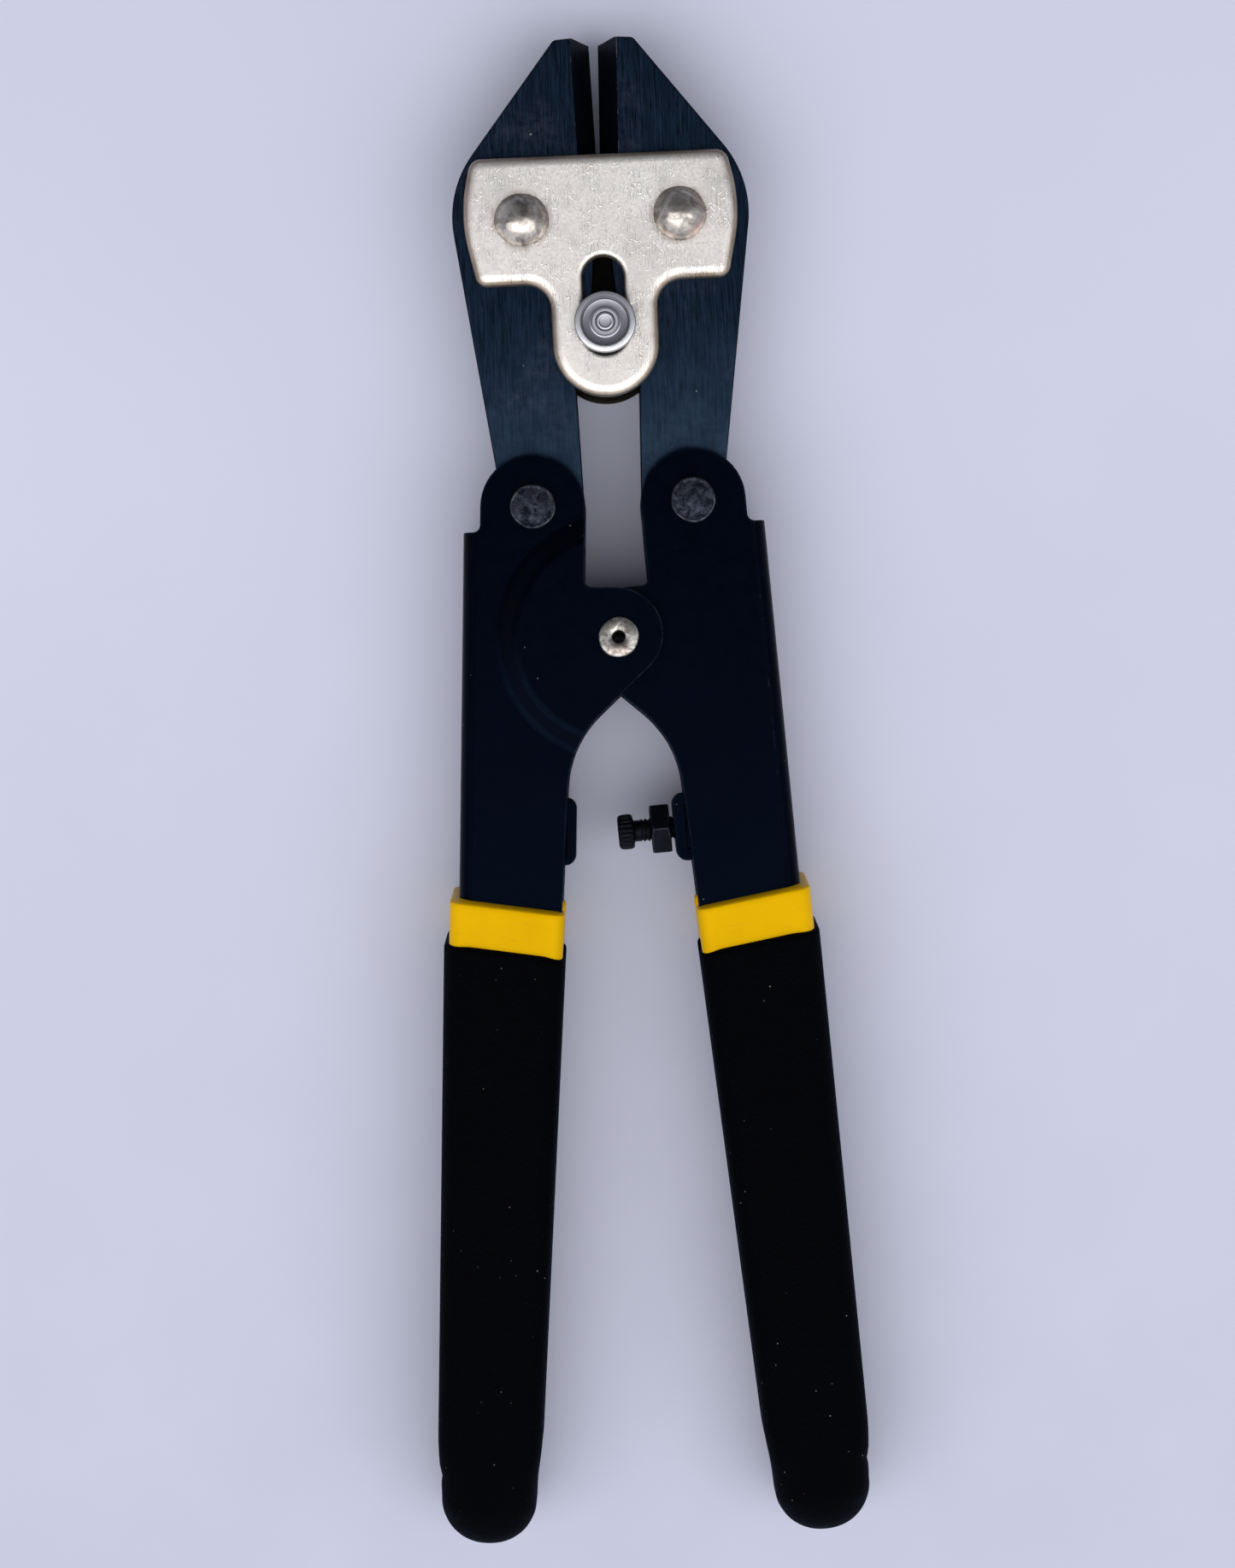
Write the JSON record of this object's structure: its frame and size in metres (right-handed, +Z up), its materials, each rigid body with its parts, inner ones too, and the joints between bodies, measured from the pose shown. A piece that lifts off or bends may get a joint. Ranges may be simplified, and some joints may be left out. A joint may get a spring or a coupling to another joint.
{
  "type": "bolt cutters",
  "caption": "Small bolt cutters with bevelled jaws on pressed face plates, compound pivots, channel handles and dipped vinyl grips.",
  "frame": {"origin": "centre of the underside of the tool's bounding box, on the surface that it lies on", "axes": "+Y along the tool towards the jaws' tips, +Z up through its thickness towards the front face, +X to the right"},
  "size_m": [0.0598, 0.2096, 0.0168],
  "materials": {
    "black_oxide_steel": "black oxide over fine brushed grain, scuffed",
    "nickel_plate": "satin nickel, lightly scratched",
    "worn_nickel": "worn nickel",
    "turned_steel": "turned rings",
    "black_paint": "satin black paint",
    "worn_oxide_rivet": "black oxide worn to bare steel",
    "black_screw_steel": "black oxide",
    "yellow_vinyl": "satin dipped vinyl",
    "black_vinyl": "fine crinkled dipped vinyl"
  },
  "bodies": {
    "left_handle": {"handle_left": "black_paint", "handle_rivet_left": "worn_oxide_rivet", "pivot_rivet": "worn_nickel", "pivot_spacer": "turned_steel", "stop_pad": "black_paint", "band_left": "yellow_vinyl", "grip_left": "black_vinyl"},
    "right_handle": {"handle_right": "black_paint", "handle_rivet_right": "worn_oxide_rivet", "stop_bracket": "black_paint", "band_right": "yellow_vinyl", "grip_right": "black_vinyl"},
    "left_jaw": {"jaw_left": "black_oxide_steel"},
    "right_jaw": {"jaw_right": "black_oxide_steel"},
    "plates": {"front_plate": "nickel_plate", "rear_plate": "nickel_plate", "jaw_rivet_left": "worn_nickel", "jaw_rivet_right": "worn_nickel"},
    "guide": {"guide_pin": "turned_steel", "guide_cap_front": "turned_steel", "guide_cap_rear": "turned_steel"},
    "stop_screw": {"stop_screw": "black_screw_steel"},
    "lock_nut": {"lock_nut": "black_screw_steel"}
  },
  "joints": [
    {"name": "handle_hinge", "type": "hinge", "parent": "left_handle", "child": "right_handle", "pos_m": [0, 0.02095, 0.0084], "axis": [0, 0, 1], "range_deg": [-5.7, 20.2]},
    {"name": "left_jaw_hinge", "type": "hinge", "parent": "left_handle", "child": "left_jaw", "pos_m": [-0.01114, 0.03963, 0.0084], "axis": [0, 0, 1], "range_deg": [-4.3, 15.2]},
    {"name": "plate_hinge", "type": "hinge", "parent": "left_jaw", "child": "plates", "pos_m": [-0.011, 0.07943, 0.0084], "axis": [0, 0, 1], "range_deg": [-5.1, 1.5]},
    {"name": "right_jaw_hinge", "type": "hinge", "parent": "right_handle", "child": "right_jaw", "pos_m": [0.01114, 0.03963, 0.0084], "axis": [0, 0, 1], "range_deg": [-15.2, 4.3]},
    {"name": "guide_slide", "type": "slide", "parent": "plates", "child": "guide", "axis": [0, 1, 0], "range_m": [-0.0003, 0.001]},
    {"name": "screw_adjust", "type": "slide", "parent": "right_handle", "child": "stop_screw", "axis": [-0.9985, -0.0549, 0], "range_m": [-0.001, 0.0024]},
    {"name": "nut_adjust", "type": "slide", "parent": "right_handle", "child": "lock_nut", "axis": [-0.9985, -0.0549, 0], "range_m": [-0.00045, 0.0005]}
  ],
  "couplings": [
    {"joint": "left_jaw_hinge", "follows": "handle_hinge", "ratio": 0.74038},
    {"joint": "plate_hinge", "follows": "handle_hinge", "ratio": -0.24038},
    {"joint": "right_jaw_hinge", "follows": "handle_hinge", "ratio": -0.74038},
    {"joint": "guide_slide", "follows": "handle_hinge", "m_per_rad": 0.002644}
  ]
}
